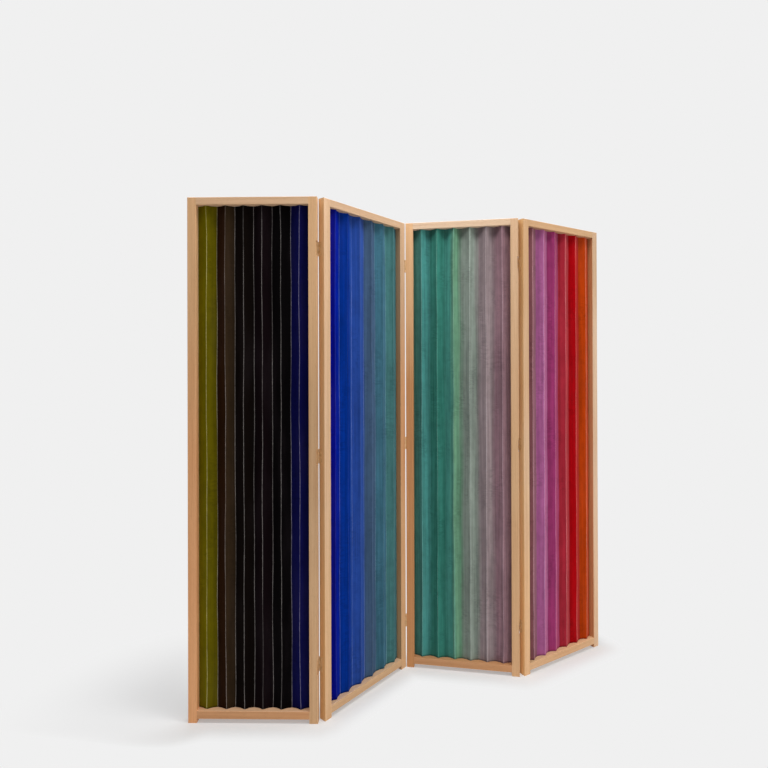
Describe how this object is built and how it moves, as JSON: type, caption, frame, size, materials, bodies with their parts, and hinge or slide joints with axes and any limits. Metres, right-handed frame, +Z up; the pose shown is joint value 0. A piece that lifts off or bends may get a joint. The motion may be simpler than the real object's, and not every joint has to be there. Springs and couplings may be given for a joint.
{
  "type": "folding screen",
  "caption": "Folding screen of slim wood-framed panels, each holding dyed paper in upright accordion pleats, hinged edge to edge to stand in a zigzag and fold flat.",
  "frame": {"origin": "on the floor, under the middle of the plan box of the standing screen", "axes": "+Z up; +X along the first panel's width, towards the last panel; -Y the front, from which the screen is seen"},
  "size_m": [1.5956, 0.5532, 1.8],
  "materials": {
    "frame_wood": "pale close-grained hardwood, satin oil",
    "dowel_wood": "bare beech",
    "hinge_brass": "aged satin brass",
    "screw_brass": "aged satin brass",
    "pin_steel": "drawn wire",
    "paper_a": "dyed paper, olive through black to navy",
    "paper_b": "dyed paper, ultramarine to teal",
    "paper_c": "dyed paper, teal to mauve",
    "paper_d": "dyed paper, orchid through red to orange"
  },
  "bodies": {
    "panel_a": {"panel_a_left_stile": "frame_wood", "panel_a_right_stile": "frame_wood", "panel_a_top_rail": "frame_wood", "panel_a_bottom_rail": "frame_wood", "panel_a_dowels": "dowel_wood", "panel_a_pleated_paper": "paper_a", "panel_a_hinge_screws": "screw_brass", "hinge_ab_top_housed_leaf": "hinge_brass", "hinge_ab_middle_housed_leaf": "hinge_brass", "hinge_ab_bottom_housed_leaf": "hinge_brass", "hinge_ab_top_pin": "pin_steel", "hinge_ab_middle_pin": "pin_steel", "hinge_ab_bottom_pin": "pin_steel"},
    "panel_b": {"panel_b_left_stile": "frame_wood", "panel_b_right_stile": "frame_wood", "panel_b_top_rail": "frame_wood", "panel_b_bottom_rail": "frame_wood", "panel_b_dowels": "dowel_wood", "panel_b_pleated_paper": "paper_b", "panel_b_hinge_screws": "screw_brass", "hinge_ab_top_face_leaf": "hinge_brass", "hinge_ab_middle_face_leaf": "hinge_brass", "hinge_ab_bottom_face_leaf": "hinge_brass", "hinge_bc_top_housed_leaf": "hinge_brass", "hinge_bc_middle_housed_leaf": "hinge_brass", "hinge_bc_bottom_housed_leaf": "hinge_brass", "hinge_bc_top_pin": "pin_steel", "hinge_bc_middle_pin": "pin_steel", "hinge_bc_bottom_pin": "pin_steel"},
    "panel_c": {"panel_c_left_stile": "frame_wood", "panel_c_right_stile": "frame_wood", "panel_c_top_rail": "frame_wood", "panel_c_bottom_rail": "frame_wood", "panel_c_dowels": "dowel_wood", "panel_c_pleated_paper": "paper_c", "panel_c_hinge_screws": "screw_brass", "hinge_bc_top_face_leaf": "hinge_brass", "hinge_bc_middle_face_leaf": "hinge_brass", "hinge_bc_bottom_face_leaf": "hinge_brass", "hinge_cd_top_housed_leaf": "hinge_brass", "hinge_cd_middle_housed_leaf": "hinge_brass", "hinge_cd_bottom_housed_leaf": "hinge_brass", "hinge_cd_top_pin": "pin_steel", "hinge_cd_middle_pin": "pin_steel", "hinge_cd_bottom_pin": "pin_steel"},
    "panel_d": {"panel_d_left_stile": "frame_wood", "panel_d_right_stile": "frame_wood", "panel_d_top_rail": "frame_wood", "panel_d_bottom_rail": "frame_wood", "panel_d_dowels": "dowel_wood", "panel_d_pleated_paper": "paper_d", "panel_d_hinge_screws": "screw_brass", "hinge_cd_top_face_leaf": "hinge_brass", "hinge_cd_middle_face_leaf": "hinge_brass", "hinge_cd_bottom_face_leaf": "hinge_brass"}
  },
  "joints": [
    {"name": "fold_ab", "type": "hinge", "parent": "panel_a", "child": "panel_b", "pos_m": [-0.35324, -0.24711, 0], "axis": [0, 0, 1], "range_deg": [-50.2, 129.8]},
    {"name": "fold_bc", "type": "hinge", "parent": "panel_b", "child": "panel_c", "pos_m": [-0.04329, 0.07647, 0], "axis": [0, 0, 1], "range_deg": [-121.1, 58.9]},
    {"name": "fold_cd", "type": "hinge", "parent": "panel_c", "child": "panel_d", "pos_m": [0.40325, 0.0395, 0], "axis": [0, 0, 1], "range_deg": [-40.9, 139.1]}
  ]
}
